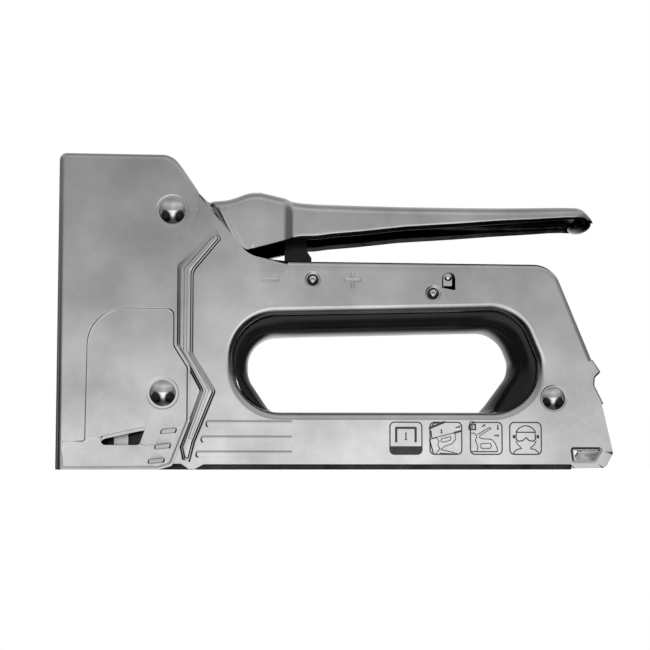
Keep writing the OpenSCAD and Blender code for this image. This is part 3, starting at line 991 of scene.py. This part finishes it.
def buildLiner():
    ring = [Vector(p) for p in roundedOutline(liner["outer"], 14)]
    middle = Vector(liner["middle"])
    # open at the bottom: from the foot of the tail side, over the top, to the nose side
    low = [i for i, p in enumerate(ring) if p.y < liner["openBelow"]]
    start = max(low, key=lambda i: ring[i].x)
    stop = min(low, key=lambda i: ring[i].x)
    order = ring[start:] + ring[:start]
    count = (stop - start) % len(ring) + 1
    first, last = [Vector(end) for end in liner["ends"]]
    path = [first] + order[:count] + [last]
    lengths = [0.0]
    for a, b in zip(path, path[1:]):
        lengths.append(lengths[-1] + (b - a).length)
    holeEdge = [Vector(p) for p in roundedOutline(liner["inner"], 14)]

    def crownPoint(point):
        # where the line from this point to the middle of the opening meets the crown
        best = None
        for a, b in zip(holeEdge, holeEdge[1:] + holeEdge[:1]):
            d, e = middle - point, b - a
            cross = d.x * e.y - d.y * e.x
            if abs(cross) < 1e-9:
                continue
            t = ((a.x - point.x) * e.y - (a.y - point.y) * e.x) / cross
            u = ((a.x - point.x) * d.y - (a.y - point.y) * d.x) / cross
            if 0 <= t <= 1 and -1e-6 <= u <= 1 + 1e-6 and (best is None or t < best):
                best = t
        return point.lerp(middle, best if best is not None else 0.0)

    bm = bmesh.new()
    bmesh.ops.create_grid(bm, x_segments=liner["along"], y_segments=liner["across"], size=1)
    crowns = {}
    for vert in bm.verts:
        s = round((vert.co.x + 1) / 2 * liner["along"])
        v = vert.co.y
        if s not in crowns:
            at = pathPoint(path, lengths, lengths[-1] * s / liner["along"])
            crowns[s] = (at, crownPoint(at))
        at, crown = crowns[s]
        across = sin(v * pi / 2)
        rise = (1 - abs(across) ** liner["fullness"]) ** 0.5
        spot = at.lerp(crown, rise)
        vert.co = Vector((spot.x, across * liner["halfWidth"], spot.y)) * mm
    # close the back against the shells' flange
    made = bmesh.ops.extrude_edge_only(bm, edges=[e for e in bm.edges if e.is_boundary])
    backs = [g for g in made["geom"] if isinstance(g, bmesh.types.BMVert)]
    centre = Vector((middle.x * mm, 0, middle.y * mm))
    for vert in backs:
        away = vert.co - centre
        away.y = 0
        vert.co += away.normalized() * liner["backing"] * mm
    facesOut(bm, (0, 0, -1))
    finishPiece("fingerLiner", bm, "black", "frame", ["finger_grip"], crease=60)


buildLiner()
print("liner ready")


# the handle
handle = {
    "grip": 11.0,
    "knuckle": 13.0,
    "arms": 11.25,
    "sheet": 1.4,
    "edge": 0.2,
    "corner": 4.2,
    "cornerShare": 0.72,    # the most of the height that the corner takes
    "crown": 0.35,
    "cornerDrop": 0.3,
    "curl": 1.5,
    "curlShare": 0.7,
    "curlLeast": 0.01,
    # the lower edge curls in from the first of these x, and less again after the second
    "curlFrom": (-18, 6),
    "curlFades": (50, 40),
    "curlTurn": 0.46,       # of a half turn
    "curlShown": -16,
    "tip": 87.5,
    # the rolled end, its centre and its half lengths
    "tipRoll": ((86, 0, 85.6), (3.7, 7, 2.2)),
    "ramp": -43.6,
    "rampLength": 2.8,
    "crease": (0.2, 3.6, 0.5),          # depth, distance behind the ramp, width
    "neck": (-17.9, 2.6),
    "taper": (81.5, 8.9, 2.2, 0.62),    # start, length, power and share of the width
    "lean": (89.2, 0.5),
    "leanZone": (-58, 10, -39, 13),
    "stationGap": 0.9,
    "rows": (8, 10, 8, 6),
    # x, top, lower edge
    "line": [
        (-63, 92.5, 79.5), (-58, 96.5, 77.6), (-53, 99.3, 77.4), (-50.8, 98.7, 78),
        (-47, 94.1, 78.5), (-43.4, 90.3, 78.6), (-42, 90.5, 78.6), (-38, 90.8, 78.4),
        (-36.2, 91.2, 77.3), (-34.9, 91.6, 76.1), (-33, 92.3, 74.4), (-31.4, 93.0, 73.0),
        (-29, 93.6, 73.6), (-26, 93.7, 74.4), (-22, 92.8, 75.5), (-18, 91.9, 76.6),
        (-16.9, 91.6, 77.0), (-15.8, 91.3, 77.4), (-12, 90.8, 77.4), (-7, 90.5, 77.6),
        (-2.2, 90.4, 78.3), (8, 90.2, 79.3), (23, 90.0, 81.1), (42, 90.0, 82.5),
        (56, 90.1, 83.7), (70, 90.4, 84.8), (78, 90.5, 85.5), (82.5, 90.4, 85.7),
        (84.3, 90, 85.5), (86.3, 88.7, 85.3), (87.8, 87.4, 85.2), (88.8, 86.4, 85.1),
    ],
}


def atStation(x):
    line = handle["line"]
    for a, b in zip(line, line[1:]):
        if x <= b[0]:
            t = (x - a[0]) / (b[0] - a[0])
            return a[1] + (b[1] - a[1]) * t, a[2] + (b[2] - a[2]) * t
    return line[-1][1], line[-1][2]


def ease(t):
    t = max(0.0, min(1.0, t))
    return t * t * (3 - 2 * t)


def handleHalf(x, column):
    # half the width, with the ramp at the front of the knuckle and the neck behind it
    past = column - handle["ramp"]
    widening = handle["knuckle"] - handle["arms"]
    half = handle["arms"] + widening * ease(past / handle["rampLength"])
    depth, behind, width = handle["crease"]
    half -= depth * exp(-((past - behind) / width) ** 2)
    neck, neckLength = handle["neck"]
    half += (handle["grip"] - half) * ease((x - neck) / neckLength)
    start, length, power, share = handle["taper"]
    along = min(1.0, max(0.0, (x - start) / length))
    return half * (1 - along ** power * share)


def leaned(x, z):
    # the columns near the ramp lean back towards their lower ends
    start, startLength, stop, stopLength = handle["leanZone"]
    near = ease((x - start) / startLength) * (1 - ease((x - stop) / stopLength))
    return x + (handle["lean"][0] - z) * handle["lean"][1] * near


def curlAt(column):
    start, startLength = handle["curlFrom"]
    fade, fadeLength = handle["curlFades"]
    kept = 1 - 0.5 * ease((column - fade) / fadeLength)
    return handle["curl"] * ease((column - start) / startLength) * kept


def buildHandle():
    stations = []
    for a, b in zip(handle["line"], handle["line"][1:]):
        pieces = max(1, round((b[0] - a[0]) / handle["stationGap"]))
        stations += [a[0] + (b[0] - a[0]) * i / pieces for i in range(pieces)]
    stations.append(handle["line"][-1][0])
    # rows over half of the top, round its edge, down the side and round its lower edge
    flat, corner, wall, under = handle["rows"]
    steps = flat + corner + wall + under
    drop = handle["cornerDrop"]
    bm = bmesh.new()
    bmesh.ops.create_grid(bm, x_segments=len(stations) - 1, y_segments=2 * steps, size=1)
    columns, rows = {}, {}
    for vert in bm.verts:
        column = stations[round((vert.co.x + 1) / 2 * (len(stations) - 1))]
        columns[vert] = column
        row = vert.co.y * steps     # -steps at the left lower edge, +steps at the right one
        side = -1 if row < 0 else 1
        row = rows[vert] = abs(row)
        x = column
        for attempt in range(3):
            # the place and the lean depend on each other, so they are worked out in turn
            top, low = atStation(x)
            half = handleHalf(x, column)
            r = min(handle["corner"], (top - low) * handle["cornerShare"])
            if row <= flat:
                y = (half - r) * row / flat
                z = top - handle["crown"] * (y / half) ** 2
            elif row <= flat + corner:
                a = (row - flat) / corner * pi / 2
                y = half - r + r * sin(a)
                z = top - drop - (r - drop) * (1 - cos(a))
            else:
                curl = min(curlAt(column), (top - r - low) * handle["curlShare"])
                curl += handle["curlLeast"]
                a = max(0, row - flat - corner - wall) / under * pi * handle["curlTurn"]
                down = min(1, (row - flat - corner) / wall)
                z = top - r + (low + curl - top + r) * down - curl * sin(a)
                y = half - curl * (1 - cos(a))
            x = leaned(column, z)
        vert.co = Vector((x, side * y, z)) * mm
    for face in bm.faces:
        # the arms inside the head, the tip and the curled edges get the dark steel as painted
        # shade, not the plating
        nearest = max(columns[v] for v in face.verts)
        lowest = min(rows[v] for v in face.verts)
        curled = lowest > flat + corner + wall and nearest > handle["curlShown"]
        if nearest < handle["ramp"] or nearest > handle["tip"] or curled:
            face.material_index = 1
    bmesh.ops.remove_doubles(bm, verts=bm.verts, dist=weld)
    facesOut(bm, (0, 0, 1))
    # the channel's inner faces get the dark steel: painted shade under the handle
    finishPiece("handlePressing", bm, "plated", "handle", ["handle_shell"],
                wall=handle["sheet"], edge=handle["edge"], inner="dark")


def buildTip():
    bm = bmesh.new()
    bmesh.ops.create_uvsphere(bm, u_segments=40, v_segments=20, radius=mm)
    centre, halves = handle["tipRoll"]
    bmesh.ops.scale(bm, verts=bm.verts, vec=halves)
    bmesh.ops.translate(bm, verts=bm.verts, vec=Vector(centre) * mm)
    # the rolled end is all dark steel: painted shade inside the curl
    finishPiece("handleTip", bm, "dark", "handle")


buildHandle()
buildTip()
print("handle ready")


# the springs
wireSides = 10
ringsPerTurn = 28


def buildSpring(name, start, axis, length, radius, wire, turns, body, replaced):
    # a ring of wire section, spun along its axis
    bm = bmesh.new()
    made = bmesh.ops.create_circle(bm, segments=wireSides, radius=wire * mm, cap_ends=True)
    turned = Matrix.Rotation(pi / 2, 3, "X")
    for vert in made["verts"]:
        vert.co = turned @ vert.co + Vector((radius * mm, 0, wire * mm))
    geometry = bm.verts[:] + bm.edges[:] + bm.faces[:]
    steps = turns * ringsPerTurn
    rise = (length - 2 * wire) / steps
    bmesh.ops.spin(bm, geom=geometry, cent=(0, 0, 0), axis=(0, 0, 1), dvec=(0, 0, rise * mm),
                   angle=2 * pi * turns, steps=steps)
    if axis == "X":
        bmesh.ops.rotate(bm, verts=bm.verts, cent=(0, 0, 0),
                         matrix=Matrix.Rotation(pi / 2, 3, "Y"))
    bmesh.ops.translate(bm, verts=bm.verts, vec=Vector(start) * mm)
    bmesh.ops.recalc_face_normals(bm, faces=bm.faces)
    return finishPiece(name, bm, "wire", body, [replaced], crease=60)


# place, axis, length, coil radius, wire radius, turns
powerSpring = buildSpring("powerSpringCoil", (-81, 0, 52.3), "Z", 49.2, 5.05, 1.0, 9, "frame",
                          "power_spring")
pusherSpring = buildSpring("pusherSpringCoil", (-69.9, 0, 7.4), "X", 135.8, 2.3, 0.35, 44,
                           "magazine", "pusher_spring")
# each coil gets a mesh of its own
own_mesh(powerSpring)
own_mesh(pusherSpring)
print("springs ready")
